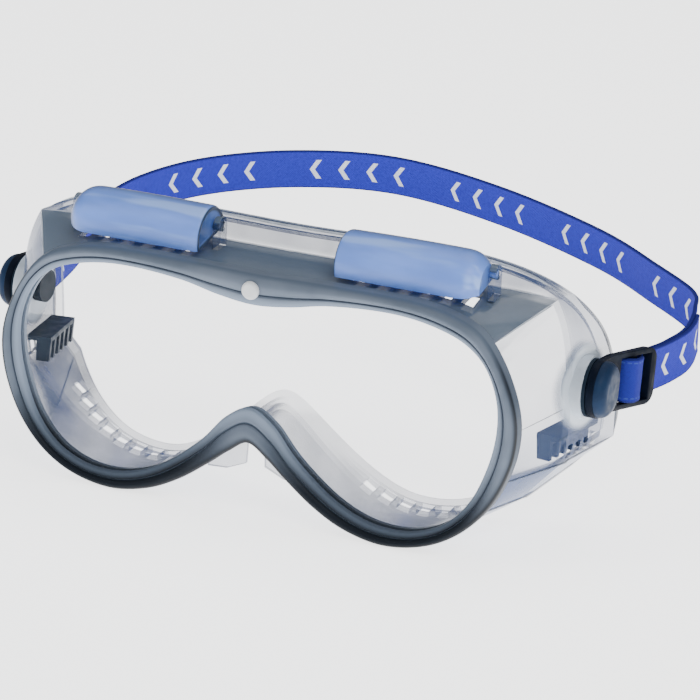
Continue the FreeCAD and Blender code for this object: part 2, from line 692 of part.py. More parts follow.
def make_clip(name, side):
    """Clip: a round end for the button, bent outwards into a frame with two slots and a bar."""
    body = doc.addObject("PartDesign::Body", "strap_clip_" + name)
    body.Label = "strap_clip_" + name
    sign = "" if side > 0 else "-"
    plan = plane_sketch(body, "clip_plan_" + name, "XY_Plane", 0)
    run = "(Sheet.clip_reach - Sheet.clip_bend)"
    slope = "tan(Sheet.clip_splay * 1 deg)"
    inner_far = "%s%s * %s" % (sign, run, slope)
    pinned_polygon(plan, (
        ("0", "-Sheet.clip_round"), ("0", "Sheet.clip_bend"), (inner_far, "Sheet.clip_reach"),
        ("%s + %s(Sheet.clip_plate * 1.3)" % (inner_far, sign or "1 * "), "Sheet.clip_reach"),
        ("%sSheet.clip_plate" % (sign or "1 * "), "Sheet.clip_bend"),
        ("%sSheet.clip_plate" % (sign or "1 * "), "-Sheet.clip_round"),
    ))
    pad(body, "clip_plate_" + name, plan, "Sheet.clip_height", midplane=True)
    doc.recompute()
    ends = plane_sketch(body, "clip_ends_" + name, "YZ_Plane", 0)
    top = size("clip_height") / 2
    for radius, centre, way in ((size("clip_round"), 0.0, -1), (size("clip_corner"), size("clip_reach"), 1)):
        for up in (1, -1):
            cut_corner(ends, radius, centre if way < 0 else centre - radius, top, way, up)
    pocket_through(body, "clip_round_end_" + name, ends)
    doc.recompute()
    slots = plane_sketch(body, "clip_slots_" + name, "YZ_Plane", 0)
    for near, far in (("Sheet.slot_near", "Sheet.bar_near"), ("Sheet.bar_far", "Sheet.slot_far")):
        pinned_polygon(slots, (
            (near, "-Sheet.window_height / 2"), (far, "-Sheet.window_height / 2"),
            (far, "Sheet.window_height / 2"), (near, "Sheet.window_height / 2"),
        ))
    pocket_through(body, "clip_slot_cut_" + name, slots)
    doc.recompute()
    bore = plane_sketch(body, "clip_bore_" + name, "YZ_Plane", 0)
    bore.addGeometry(Part.Circle(Vector(0, 0, 0), Z_AXIS, size("shank_radius")), False)
    bore.addConstraint(Sketcher.Constraint("Coincident", -1, 1, 0, 3))
    add_constraint(bore, Sketcher.Constraint("Radius", 0, size("shank_radius")),
                   "Sheet.shank_radius + Sheet.shank_play")
    body.Tip = pocket_through(body, "clip_bore_cut_" + name, bore)
    where = at(side * clip_inner_face(), size("pivot_depth"), -size("pivot_drop"))
    body.Placement = Placement(where, Rotation(X_AXIS, -size("clip_droop")))
    return body


def make_clip_cap(name, side):
    """Domed cap over the clip's round end, straight towards the frame, bored for the tip of the shank."""
    start = clip_inner_face() + size("clip_plate")
    base = at(side * start, size("pivot_depth"), -size("pivot_drop"))
    dome = domed_disc("cap_dome_" + name, "cap_radius", "cap_rise", base, X_AXIS * side)
    turn = Rotation(X_AXIS, -size("clip_droop"))
    block = doc.addObject("Part::Box", "cap_straight_" + name)
    for edge in ("Length", "Width", "Height"):
        block.setExpression(edge, "Sheet.cap_radius * 2")
    reach = size("cap_radius")
    block.Placement = Placement(base + turn.multVec(Vector(-reach, size("cap_edge"), -reach)), turn)
    shape = cut("cap_body_" + name, dome, block)
    hole = side_cylinder("cap_hole_" + name, "Sheet.shank_radius + Sheet.shank_play", "1.8", start, side)
    return cut("clip_cap_" + name, shape, hole)


# Middle of the webbing from the right clip round the back to the left clip (x, depth, rise).
STRAP_LOOP = (
    (96.6, 62.5, -24.2), (99.3, 73, -24.4), (102.2, 86, -23.0), (100.8, 98.5, -20.4), (94.8, 110.5, -18.8),
    (78.8, 125, -17.3), (52, 147.5, -15.8), (9, 171, -14.0), (-32, 182, -12.8), (-64, 172, -13.0),
    (-88, 149, -14.2), (-100.1, 122, -16.8), (-102.1, 96, -20.8), (-99.2, 74, -24.3), (-96.6, 62.5, -24.2),
)


def strap_section(point, forward, up):
    """Corners of the webbing's section: outer top, outer bottom, inner bottom, inner top."""
    across = up.cross(forward).normalize()
    height = forward.cross(across).normalize()
    half_width = height * (size("strap_width") / 2)
    half_thick = across * (size("strap_thick") / 2)
    return (point - half_thick + half_width, point - half_thick - half_width,
            point + half_thick - half_width, point + half_thick + half_width)


def clip_point(side, along, out):
    """Point on the middle of a clip, a distance along it and out from its inner face."""
    bend = size("clip_bend")
    splay = math.radians(size("clip_splay"))
    x = side * (math.tan(splay) * (along - bend) + out)
    local = Vector(x, along, 0)
    base = at(side * clip_inner_face(), size("pivot_depth"), -size("pivot_drop"))
    return base + Rotation(X_AXIS, -size("clip_droop")).multVec(local)


def strap_line():
    """Points along the webbing: a tail outside, a turn at each clip and the main ply inside the tails."""
    ply = size("strap_thick") + 0.1
    tail_length = size("strap_tail")
    loop = spline_curve([at(*p) for p in STRAP_LOOP])
    length = loop.length()
    tail_steps = 7
    main_steps = 44
    right_tail = []
    left_tail = []
    for step in range(tail_steps, 0, -1):
        distance = tail_length * step / tail_steps
        right_tail.append(beside(loop, distance, 0))
        left_tail.append(beside(loop, length - distance, 0))
    main = []
    for step in range(1, main_steps):
        distance = length * step / main_steps
        from_end = min(distance, length - distance)
        share = min(1.0, max(0.0, (tail_length + 12 - from_end) / 10))
        main.append(beside(loop, distance, ply * share))
    return right_tail + clip_turn(1) + main + list(reversed(clip_turn(-1))) + list(reversed(left_tail))


def spline_curve(points):
    """Smooth curve through the points."""
    curve = Part.BSplineCurve()
    curve.interpolate(points)
    return curve


def beside(curve, distance, gap):
    """Point beside a curve, on the side that faces the middle of the loop."""
    parameter = curve.parameterAtDistance(distance)
    point = curve.value(parameter)
    tangent = Vector(*curve.tangent(parameter)[0])
    inward = Vector(-tangent.y, tangent.x, 0).normalize()
    return point + inward * gap


def clip_turn(side):
    """Webbing from the tail under the frame's far end, round the bar and back inside to the main ply."""
    bar = (size("bar_near") + size("bar_far")) / 2
    middle = size("clip_plate") * 0.57
    radius = size("bar_far") - bar + size("strap_thick") + 0.15
    exit_reach = size("slot_far")
    points = [clip_point(side, exit_reach + 2, -0.8), clip_point(side, exit_reach - 0.6, -0.75),
              clip_point(side, bar + 5.4, middle - 0.75), clip_point(side, bar + 3.4, middle + 1.5)]
    for degrees in (80, 48, 16, -16, -48, -80):
        angle = math.radians(degrees)
        points.append(clip_point(side, bar - radius * math.cos(angle), middle + radius * math.sin(angle)))
    points.append(clip_point(side, exit_reach - 3.5, -2.1))
    points.append(clip_point(side, exit_reach + 2, -2.2))
    return points


def strap_up(point):
    """Direction across the webbing's width: square to the clips beside them, upright further back."""
    depth = point.y
    start = size("pivot_depth") + size("clip_reach")
    share = min(1.0, max(0.0, (depth - start) / size("strap_tail")))
    return Rotation(X_AXIS, -size("clip_droop") * (1 - share)).multVec(Z_AXIS)


def make_strap():
    """Elastic webbing as one solid, its section carried along the line."""
    line = strap_line()
    sections = []
    for index, point in enumerate(line):
        before = line[max(index - 1, 0)]
        after = line[min(index + 1, len(line) - 1)]
        sections.append(strap_section(point, (after - before).normalize(), strap_up(point)))
    wires = [Part.makePolygon(list(corners) + [corners[0]]) for corners in sections]
    return add_shape("head_strap", Part.makeLoft(wires, True, True))


# ---------------------------------------------------------------- build, check and write

def build_parts():
    """All sub-parts in order."""
    skirt = make_skirt()
    parts = [skirt, make_rim(), make_lens(), make_stud(), make_stud_washer()]
    for name, side in SIDES:
        parts += [make_nose_flap(name, side, skirt), make_hood(name, side), make_side_vent(name, side, skirt)]
        parts += [make_button(name, side), make_button_washer(name, side)]
        parts += [make_clip(name, side), make_clip_cap(name, side)]
    parts.append(make_strap())
    return parts


def check(parts):
    """Stop if anything in the document failed or a sub-part is not a sound solid."""
    for item in doc.Objects:
        if "Invalid" in item.State or "Error" in item.State:
            raise RuntimeError("failed: " + item.Name)
    for item in parts:
        shape = item.Shape
        if shape.isNull() or not shape.isValid() or not shape.Solids:
            raise RuntimeError("bad shape: " + item.Label)
        if shape.Volume <= 0:
            raise RuntimeError("inside out: " + item.Label)


def write(parts):
    """Write each sub-part to its own file, moved so that the origin is under the middle."""
    os.makedirs("parts", exist_ok=True)
    shift = Vector(0, -size("depth_centre"), 0)
    for item in parts:
        item.Placement.Base = item.Placement.Base + shift
    doc.recompute()
    check(parts)
    for item in parts:
        item.Shape.exportStep(os.path.join("parts", item.Label + ".step"))


sub_parts = build_parts()
doc.recompute()
check(sub_parts)
write(sub_parts)
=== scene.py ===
"""Looks of the safety goggles: soft clear shell, smoke rim, frosted hoods and woven headband.

Metres, in the frame of the CAD model: +Z up, -Y the side the lens faces, +X the wearer's left. In the names,
left and right are as seen from the front, so left is at -X. Outlines are in millimetres: sideways, depth
behind the front of the rim, and height above the bridge stud.
"""
import math

import bmesh
import bpy
from mathutils import Matrix, Vector


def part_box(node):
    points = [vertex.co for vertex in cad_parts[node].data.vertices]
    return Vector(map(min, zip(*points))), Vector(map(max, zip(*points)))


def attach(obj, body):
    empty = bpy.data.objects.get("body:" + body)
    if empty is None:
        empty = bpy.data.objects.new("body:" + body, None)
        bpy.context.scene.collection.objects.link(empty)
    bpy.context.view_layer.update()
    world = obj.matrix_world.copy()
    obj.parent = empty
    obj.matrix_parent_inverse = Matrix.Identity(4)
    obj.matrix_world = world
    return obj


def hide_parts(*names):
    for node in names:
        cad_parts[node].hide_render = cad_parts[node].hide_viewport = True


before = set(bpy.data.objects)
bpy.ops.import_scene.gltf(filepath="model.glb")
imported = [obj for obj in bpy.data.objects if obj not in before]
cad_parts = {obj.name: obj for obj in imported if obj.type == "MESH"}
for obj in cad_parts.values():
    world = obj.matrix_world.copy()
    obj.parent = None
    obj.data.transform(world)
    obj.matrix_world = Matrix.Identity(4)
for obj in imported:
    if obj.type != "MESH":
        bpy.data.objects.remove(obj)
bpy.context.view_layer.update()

MM = 0.001
SIDES = (("left", -1), ("right", 1))

# ---------------------------------------------------------------- places given by the CAD model

RIM_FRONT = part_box("lens_rim")[0][1]
STUD_LOW, STUD_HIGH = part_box("lens_stud")
STUD_HEIGHT = (STUD_LOW[2] + STUD_HIGH[2]) / 2


def at(x, depth, rise):
    """A point in metres from millimetres sideways, behind the front of the rim and above the stud."""
    return Vector((x * MM, RIM_FRONT + depth * MM, STUD_HEIGHT + rise * MM))


# Hoods: distance of the inner end from the middle, and centre and pins as depth and rise.
HOOD_START = 21.0
HOOD_LENGTH = 42.5
HOOD_RADIUS = 9.0
HOOD_WALL = 1.3
HOOD_CENTRE = (17.2, 8.0)
PIN_CENTRE = (19.5, 10.8)

# Clips: the pivot's depth and rise.
CLIP_PIVOT = (34.0, -21.8)


# ---------------------------------------------------------------- camera, floor and light

CAMERA_AZIMUTH = 25.0
CAMERA_ELEVATION = 17.23
CAMERA_ROLL = 2.48
CAMERA_DISTANCE = 0.8365
CAMERA_LENS = 154.3
AIM_RIGHT = 0.0331
AIM_DOWN = 0.0199
LIGHT_TARGET = (0, 0, 0.04)
SURROUNDINGS = 0.4
FLOOR_GLOW = 2.3
FLOOR_SIZE = 12


def place_camera():
    """Camera in front and to the right, aimed a little to the right of the stud and below it."""
    azimuth = math.radians(CAMERA_AZIMUTH)
    elevation = math.radians(CAMERA_ELEVATION)
    back = Vector((math.sin(azimuth) * math.cos(elevation), -math.cos(azimuth) * math.cos(elevation),
                   math.sin(elevation)))
    level = Vector((math.cos(azimuth), math.sin(azimuth), 0))
    above = back.cross(level)
    roll = math.radians(CAMERA_ROLL)
    right = level * math.cos(roll) + above * math.sin(roll)
    up = above * math.cos(roll) - level * math.sin(roll)
    forward = (right * AIM_RIGHT - up * AIM_DOWN - back).normalized()
    right = forward.cross(up).normalized()
    up = right.cross(forward)
    turn = Matrix((right, up, -forward)).transposed()
    data = bpy.data.cameras.new("camera")
    data.lens = CAMERA_LENS
    data.sensor_width = 36
    data.clip_start = 0.01
    camera = bpy.data.objects.new("camera", data)
    camera.matrix_world = Matrix.Translation(at(0, 0, 0) + back * CAMERA_DISTANCE) @ turn.to_4x4()
    bpy.context.collection.objects.link(camera)
    bpy.context.scene.camera = camera


def area_light(name, place, width, height, power):
    """Rectangular soft light that faces the object."""
    data = bpy.data.lights.new(name, "AREA")
    data.shape = "RECTANGLE"
    data.size = width
    data.size_y = height
    data.energy = power
    light = bpy.data.objects.new(name, data)
    light.location = place
    towards = Vector(LIGHT_TARGET) - Vector(place)
    light.rotation_euler = towards.to_track_quat("-Z", "Y").to_euler()
    bpy.context.collection.objects.link(light)


def make_studio():
    """Pale floor, even pale surroundings and soft lights."""
    world = bpy.data.worlds.new("studio")
    bpy.context.scene.world = world
    world.use_nodes = True
    background = world.node_tree.nodes["Background"]
    background.inputs["Color"].default_value = (0.95, 0.97, 1.0, 1)
    background.inputs["Strength"].default_value = SURROUNDINGS
    bpy.ops.mesh.primitive_plane_add(size=FLOOR_SIZE)
    floor = bpy.context.object
    floor.name = "floor"
    white = Surface("floor_white", (0.93, 0.94, 0.95), 0.9)
    white.set("Emission Color", (1.0, 1.0, 1.0, 1))
    white.set("Emission Strength", FLOOR_GLOW)
    floor.data.materials.append(white.material)
    area_light("key", (0.8, -0.8, 1.1), 0.8, 0.5, 9)
    area_light("top", (0.1, 0.4, 1.5), 1.2, 0.9, 8)
    area_light("side", (-0.9, -0.9, 1.0), 0.3, 0.9, 3)


# ---------------------------------------------------------------- materials

class Surface:
    """A Principled material, with short ways to add to its node tree."""

    def __init__(self, name, colour, roughness):
        self.material = bpy.data.materials.new(name)
        self.material.use_nodes = True
        self.tree = self.material.node_tree
        self.shader = self.tree.nodes["Principled BSDF"]
        self.set("Base Color", (*colour, 1))
        self.set("Roughness", roughness)

    def set(self, socket, value):
        """Give a socket of the shader a value, or link it to another node's output."""
        self.feed(self.shader, socket, value)

    def feed(self, node, socket, value):
        """Give a node's input a value, or link it to another node's output."""
        if isinstance(value, bpy.types.NodeSocket):
            self.tree.links.new(value, node.inputs[socket])
        else:
            node.inputs[socket].default_value = value

    def math(self, operation, first, second=0.0, third=0.0):
        """A sum on up to three numbers or outputs."""
        node = self.tree.nodes.new("ShaderNodeMath")
        node.operation = operation
        for index, value in enumerate((first, second, third)):
            self.feed(node, index, value)
        return node.outputs[0]

    def ranged(self, value, low, high, to_low=0.0, to_high=1.0):
        """A value carried smoothly from one range to another."""
        node = self.tree.nodes.new("ShaderNodeMapRange")
        node.interpolation_type = "SMOOTHSTEP"
        for socket, number in (("Value", value), ("From Min", low), ("From Max", high),
                               ("To Min", to_low), ("To Max", to_high)):
            self.feed(node, socket, number)
        return node.outputs["Result"]

    def blend(self, factor, first, second):
        """A colour between two colours."""
        node = self.tree.nodes.new("ShaderNodeMix")
        node.data_type = "RGBA"
        for index, value in ((0, factor), (6, first), (7, second)):
            if isinstance(value, tuple):
                value = (*value, 1)
            self.feed(node, index, value)
        return node.outputs[2]

    def noise(self, size, detail=2.0, stretch=(1, 1, 1)):
        """Noise with features of about size millimetres, fixed to the object."""
        node = self.tree.nodes.new("ShaderNodeTexNoise")
        self.feed(node, "Scale", 1.0 / (size * MM))
        self.feed(node, "Detail", detail)
        mapping = self.tree.nodes.new("ShaderNodeMapping")
        mapping.inputs["Scale"].default_value = stretch
        self.tree.links.new(self.place("Object"), mapping.inputs["Vector"])
        self.tree.links.new(mapping.outputs[0], node.inputs["Vector"])
        return node.outputs["Fac"]

    def place(self, kind):
        """Texture coordinates, "Object" or "UV"."""
        return self.tree.nodes.new("ShaderNodeTexCoord").outputs[kind]

    def axes(self, vector):
        """The three parts of a vector."""
        node = self.tree.nodes.new("ShaderNodeSeparateXYZ")
        self.tree.links.new(vector, node.inputs[0])
        return node.outputs

    def normal(self):
        """The face's own direction."""
        return self.tree.nodes.new("ShaderNodeNewGeometry").outputs["True Normal"]

    def facing(self):
        """0 where the surface is seen square on, 1 at its outline."""
        node = self.tree.nodes.new("ShaderNodeLayerWeight")
        node.inputs["Blend"].default_value = 0.5
        return node.outputs["Facing"]

    def bump(self, height, distance, strength=1.0):
        """Relief of a height pattern, its depth in millimetres."""
        node = self.tree.nodes.new("ShaderNodeBump")
        self.feed(node, "Height", height)
        self.feed(node, "Distance", distance * MM)
        self.feed(node, "Strength", strength)
        self.set("Normal", node.outputs["Normal"])


def clear_shell():
    """Soft clear plastic: smoky on the ledge, cloudier in its step, its lower facet and round the buttons."""
    surface = Surface("shell_clear", (0.05, 0.09, 0.17), 0.16)
    place = surface.axes(surface.place("Object"))
    normal = surface.axes(surface.normal())
    level = surface.ranged(surface.math("ABSOLUTE", normal[2]), 0.35, 0.6)
    front = surface.ranged(place[1], at(0, 26.6, 0)[1], at(0, 25.2, 0)[1])
    high = surface.ranged(place[2], at(0, 0, -14)[2], at(0, 0, -8)[2])
    ledge = surface.math("MULTIPLY", surface.math("MULTIPLY", level, front), high)
    behind = surface.math("SUBTRACT", 1.0, front)
    step = surface.math("MULTIPLY", surface.ranged(place[2], at(0, 0, 3.5)[2], at(0, 0, 6)[2]), behind)
    outer = surface.ranged(surface.math("ABSOLUTE", place[0]), 0.058, 0.08, 0.3, 1.0)
    facet = surface.math("MULTIPLY", surface.ranged(place[2], at(0, 0, -41.5)[2], at(0, 0, -45)[2]), outer)
    button = at(0, *CLIP_PIVOT)
    back = surface.math("SUBTRACT", place[1], button[1])
    above = surface.math("SUBTRACT", place[2], button[2])
    square = surface.math("MULTIPLY_ADD", above, above, surface.math("MULTIPLY", back, back))
    boss = surface.ranged(surface.math("SQRT", square), 0.0135, 0.0105)
    cloud = surface.ranged(surface.noise(9.0), 0.3, 0.7, 0.93, 1.05)
    alpha = surface.ranged(surface.facing(), 0.2, 0.95, 0.16, 0.78)
    for share, amount in ((step, 0.3), (facet, 0.34), (boss, 0.55), (ledge, 0.75)):
        alpha = surface.math("MULTIPLY_ADD", share, amount, alpha)
    alpha = surface.math("MINIMUM", surface.math("MULTIPLY", alpha, cloud), 0.97)
    surface.set("Alpha", alpha)
    colour = surface.blend(ledge, (0.05, 0.09, 0.22), (0.1, 0.135, 0.185))
    surface.set("Base Color", surface.blend(boss, colour, (0.6, 0.67, 0.75)))
    surface.set("Specular IOR Level", 0.35)
    surface.bump(surface.noise(7.0, 2.0), 0.2, 0.3)
    return surface.material


def painted_edge_light(name, colour, alpha):
    """Painted highlight or painted shade for a bead along an edge of the clear shell, where light gathers or
    darkens.
    """
    surface = Surface(name, colour, 0.2)
    surface.set("Base Color", surface.blend(surface.ranged(surface.noise(5.0), 0.3, 0.7), colour,
                                            tuple(0.7 * part for part in colour)))
    surface.set("Alpha", surface.ranged(surface.noise(12.0, 3.0), 0.25, 0.75, alpha * 0.6, alpha))
    return surface.material


def clear_lens():
    """Clear lens, seen mostly by its reflections."""
    surface = Surface("lens_clear", (0.45, 0.5, 0.56), 0.03)
    surface.set("Alpha", surface.ranged(surface.facing(), 0.15, 0.95, 0.012, 0.35))
    surface.set("Specular IOR Level", 0.35)
    surface.bump(surface.noise(30.0), 0.2, 0.1)
    return surface.material


def smoke_rim():
    """Smoke plastic with painted shade: an outline painted dark where it turns away, near black below the
    brow, a lighter lip beside the lens, painted shade making it darker towards the cheeks, and a painted dark
    line along the groove.
    """
    surface = Surface("rim_smoke", (0.1, 0.12, 0.15), 0.4)
    share = surface.axes(surface.place("UV"))[1]
    height = surface.axes(surface.place("Object"))[2]
    # Painted shade: the bead's middle and its lip are painted darker towards the bottom of the rim.
    low = surface.ranged(height, at(0, 0, -36)[2], at(0, 0, -58)[2])
    painted_shade_below_brow = surface.ranged(height, at(0, 0, 1)[2], at(0, 0, -14)[2])
    cloud = surface.ranged(surface.noise(14.0), 0.3, 0.7)
    middle = surface.blend(cloud, (0.105, 0.13, 0.17), (0.15, 0.18, 0.23))
    middle = surface.blend(low, middle, (0.01, 0.013, 0.018))
    lip = surface.blend(low, (0.22, 0.27, 0.35), (0.07, 0.09, 0.12))
    coloured = surface.blend(surface.ranged(share, 0.36, 0.08), middle, lip)
    # Painted shade: the outer part of the bead is painted dark where the surface turns away, slate along the
    # brow and near black below it.
    outline = surface.blend(painted_shade_below_brow, (0.09, 0.12, 0.165), (0.004, 0.006, 0.009))
    turned = surface.ranged(surface.facing(), 0.12, 0.6)
    outer = surface.math("MULTIPLY", surface.ranged(share, 0.55, 0.8),
                         surface.ranged(share, 0.99, 1.0, 1.0, 0.3))
    coloured = surface.blend(surface.math("MULTIPLY", turned, outer), coloured, outline)
    # Painted shade: a dark line painted along the groove of the bead.
    line = surface.ranged(surface.math("ABSOLUTE", surface.math("SUBTRACT", share, 0.4)), 0.035, 0.015)
    surface.set("Base Color", surface.blend(line, coloured, (0.05, 0.065, 0.088)))
    surface.set("Specular IOR Level", 0.06)
    surface.bump(surface.noise(1.2, 4.0), 0.05, 0.25)
    return surface.material


def frosted():
    """Frosted blue plastic of the hoods, with long soft painted highlight streaks, painted shade towards its
    outline and a darker inner end.
    """
    surface = Surface("hood_frost", (0.15, 0.27, 0.6), 0.33)
    cloud = surface.ranged(surface.noise(9.0, 3.0, (0.3, 1, 1)), 0.3, 0.7)
    # Painted highlight: long pale streaks along the hood.
    highlight_streak = surface.ranged(surface.noise(5.0, 2.0, (0.12, 1, 1)), 0.56, 0.72)
    # Painted shade: the hood is painted darker towards its outline.
    edge = surface.ranged(surface.facing(), 0.4, 1.0)
    end = surface.ranged(surface.math("ABSOLUTE", surface.axes(surface.place("Object"))[0]),
                         (HOOD_START + 0.5) * MM, (HOOD_START + 0.2) * MM)
    coloured = surface.blend(cloud, (0.13, 0.26, 0.74), (0.2, 0.36, 0.95))
    coloured = surface.blend(highlight_streak, coloured, (0.32, 0.5, 1.0))
    coloured = surface.blend(edge, coloured, (0.02, 0.05, 0.16))
    surface.set("Base Color", surface.blend(end, coloured, (0.03, 0.055, 0.11)))
    surface.set("Alpha", 0.93)
    surface.set("Subsurface Weight", 0.15)
    surface.set("Subsurface Radius", (0.002, 0.003, 0.004))
    surface.set("Specular IOR Level", 0.4)
    surface.bump(surface.noise(0.5, 4.0), 0.06, 0.4)
    return surface.material


def moulded(name, colour, worn, roughness, grain, shine):
    """Moulded plastic with a fine grain and slightly worn high spots."""
    surface = Surface(name, colour, roughness)
    cloud = surface.ranged(surface.noise(7.0, 4.0), 0.35, 0.75)
    surface.set("Base Color", surface.blend(cloud, colour, worn))
    rough = surface.ranged(surface.noise(3.0, 3.0), 0.3, 0.7, roughness * 0.8, roughness * 1.3)
    surface.set("Roughness", rough)
    surface.set("Specular IOR Level", shine)
    surface.bump(surface.noise(grain, 3.0), 0.04, 0.4)
    return surface.material


# Woven marks along the webbing: from group to group, from mark to mark, and marks in a group.
MARK_GROUP = 52.0
MARK_PITCH = 9.7
MARKS = 4
WARP_PITCH = 0.62
WEFT_PITCH = 0.8
STITCH_PITCH = 1.7
STITCH_LENGTH = 1.1
# Where the webbing goes round a clip, from its end.
TURN_START = 38
TURN_END = 62


def webbing_weave(length):
    """Royal blue elastic webbing of a length, stitched at its turns and painted darker there as shade, with
    woven groups of white chevrons.
    """
    surface = Surface("webbing_blue", (0.03, 0.045, 0.42), 0.85)
    along, across = surface.axes(surface.place("UV"))[:2]
    along = surface.math("DIVIDE", along, MM)
    across = surface.math("DIVIDE", across, MM)
    warp = surface.math("SINE", surface.math("MULTIPLY", across, 2 * math.pi / WARP_PITCH))
    weft = surface.math("SINE", surface.math("MULTIPLY", along, 2 * math.pi / WEFT_PITCH))
    weave = surface.math("MULTIPLY_ADD", surface.math("MULTIPLY", warp, weft), 0.5, 0.5)
    away = surface.math("ABSOLUTE", across)
    edge = surface.ranged(away, 5.7, 6.1)
    yarn = surface.ranged(surface.noise(0.7, 3.0), 0.3, 0.7, 0.75, 1.15)
    tint = surface.math("MULTIPLY", surface.ranged(weave, 0.0, 1.0, 0.62, 1.1), yarn)
    group = surface.math("FLOORED_MODULO", along, MARK_GROUP)
    inside = surface.math("LESS_THAN", group, MARK_PITCH * MARKS)
    cell = surface.math("SUBTRACT", surface.math("FLOORED_MODULO", group, MARK_PITCH), MARK_PITCH / 2)
    lean = surface.math("MULTIPLY_ADD", away, 0.7, cell)
    stroke = surface.ranged(surface.math("ABSOLUTE", surface.math("SUBTRACT", lean, 1.2)), 1.0, 0.75)
    within = surface.ranged(away, 3.35, 3.15)
    mark = surface.math("MULTIPLY", surface.math("MULTIPLY", stroke, within), inside)
    mark = surface.math("MULTIPLY", mark, surface.ranged(weave, 0.0, 0.5, 0.55, 1.0))
    blue = surface.blend(tint, (0.008, 0.009, 0.12), (0.03, 0.036, 0.44))
    blue = surface.blend(edge, blue, (0.012, 0.015, 0.16))
    from_end = surface.math("MINIMUM", along, surface.math("SUBTRACT", length / MM, along))
    turn = surface.math("MULTIPLY", surface.ranged(from_end, TURN_START, TURN_START + 1),
                        surface.ranged(from_end, TURN_END, TURN_END - 1))
    row = surface.ranged(surface.math("ABSOLUTE", surface.math("SUBTRACT", away, 5.2)), 0.3, 0.15)
    dash = surface.math("LESS_THAN", surface.math("FLOORED_MODULO", along, STITCH_PITCH), STITCH_LENGTH)
    stitch = surface.math("MULTIPLY", surface.math("MULTIPLY", row, dash), turn)
    # Painted shade: the webbing is painted darker where it goes round a clip.
    blue = surface.blend(surface.math("MULTIPLY", turn, 0.45), blue, (0.006, 0.012, 0.1))
    blue = surface.blend(stitch, blue, (0.035, 0.06, 0.3))
    surface.set("Base Color", surface.blend(mark, blue, (0.75, 0.78, 0.85)))
    surface.set("Specular IOR Level", 0.15)
    surface.bump(weave, 0.14, 0.7)
    return surface.material


# ---------------------------------------------------------------- meshes

def add_mesh(name, points, faces, material, body, uvs=None):
    """A new visible piece that rides on a body; uvs is one pair for each point."""
    mesh = bpy.data.meshes.new(name)
    mesh.from_pydata([tuple(p) for p in points], [], faces)
    if uvs is not None:
        layer = mesh.uv_layers.new(name="UVMap")
        for loop in mesh.loops:
            layer.data[loop.index].uv = uvs[loop.vertex_index]
    mesh.materials.append(material)
    for polygon in mesh.polygons:
        polygon.use_smooth = True
    mesh.update()
    piece = bpy.data.objects.new(name, mesh)
    bpy.context.collection.objects.link(piece)
    finish_piece(piece, body)
    return piece


def finish_piece(piece, body):
    """Body that a piece rides on."""
    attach(piece, body)


def smooth_point(before, start, end, after, share):
    """Point of the smooth curve between start and end."""
    square = share * share
    cube = square * share
    return (start * 2 + (end - before) * share + (before * 2 - start * 5 + end * 4 - after) * square
            + (start * 3 - before - end * 3 + after) * cube) / 2


def smooth_line(points, steps):
    """Open smooth line through points, with steps between each two."""
    padded = [points[0] * 2 - points[1]] + list(points) + [points[-1] * 2 - points[-2]]
    line = []
    for index in range(1, len(padded) - 2):
        for step in range(steps):
            line.append(smooth_point(*padded[index - 1:index + 3], step / steps))
    return line + [points[-1]]


def smooth_loop(points, steps):
    """Closed smooth line through points."""
    count = len(points)
    line = []
    for index in range(count):
        around = [points[(index + offset) % count] for offset in (-1, 0, 1, 2)]
        for step in range(steps):
            line.append(smooth_point(*around, step / steps))
    return line


def even_line(points, spacing):
    """The same line with points at equal distances, about spacing apart."""
    lengths = [0.0]
    for start, end in zip(points, points[1:]):
        lengths.append(lengths[-1] + (end - start).length)
    count = max(2, round(lengths[-1] / spacing))
    line = []
    index = 0
    for step in range(count + 1):
        goal = lengths[-1] * step / count
        while index < len(points) - 2 and lengths[index + 1] < goal:
            index += 1
        share = (goal - lengths[index]) / (lengths[index + 1] - lengths[index])
        line.append(points[index].lerp(points[index + 1], share))
    return line


def grid_faces(rows, columns, closed_rows, closed_columns):
    """Quads between neighbouring points of a grid stored row by row."""
    faces = []
    for row in range(rows if closed_rows else rows - 1):
        for column in range(columns if closed_columns else columns - 1):
            next_row = (row + 1) % rows
            next_column = (column + 1) % columns
            faces.append((row * columns + column, row * columns + next_column,
                          next_row * columns + next_column, next_row * columns + column))
    return faces


# Faces nearer than the first angle are joined, and edges sharper than the second are rounded.
FLAT_ANGLE = math.radians(2)
SHARP_ANGLE = math.radians(35)


def rounded_copy(node, width, material, body):
    """A CAD node's shape with its sharp edges rounded, in its place. Left pieces mirror the right ones."""
    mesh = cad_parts[node.replace("_left", "_right")].data.copy()
    mesh.materials.clear()
    mesh.materials.append(material)
    shape = bmesh.new()
    shape.from_mesh(mesh)
    bmesh.ops.remove_doubles(shape, verts=shape.verts, dist=1e-6)
    bmesh.ops.dissolve_limit(shape, angle_limit=FLAT_ANGLE, verts=shape.verts, edges=shape.edges)
    if node.endswith("_left"):
        for vertex in shape.verts:
            vertex.co.x = -vertex.co.x
        bmesh.ops.reverse_faces(shape, faces=shape.faces)
    shape.to_mesh(mesh)
    shape.free()
    piece = bpy.data.objects.new(node + "_moulded", mesh)
    bpy.context.collection.objects.link(piece)
    bevel = piece.modifiers.new("rounding", "BEVEL")
    bevel.width = width * MM
    bevel.segments = 3
    bevel.limit_method = "ANGLE"
    bevel.angle_limit = SHARP_ANGLE
    bevel.harden_normals = True
    for polygon in mesh.polygons:
        polygon.use_smooth = True
    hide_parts(node)
    finish_piece(piece, body)


# ---------------------------------------------------------------- rim

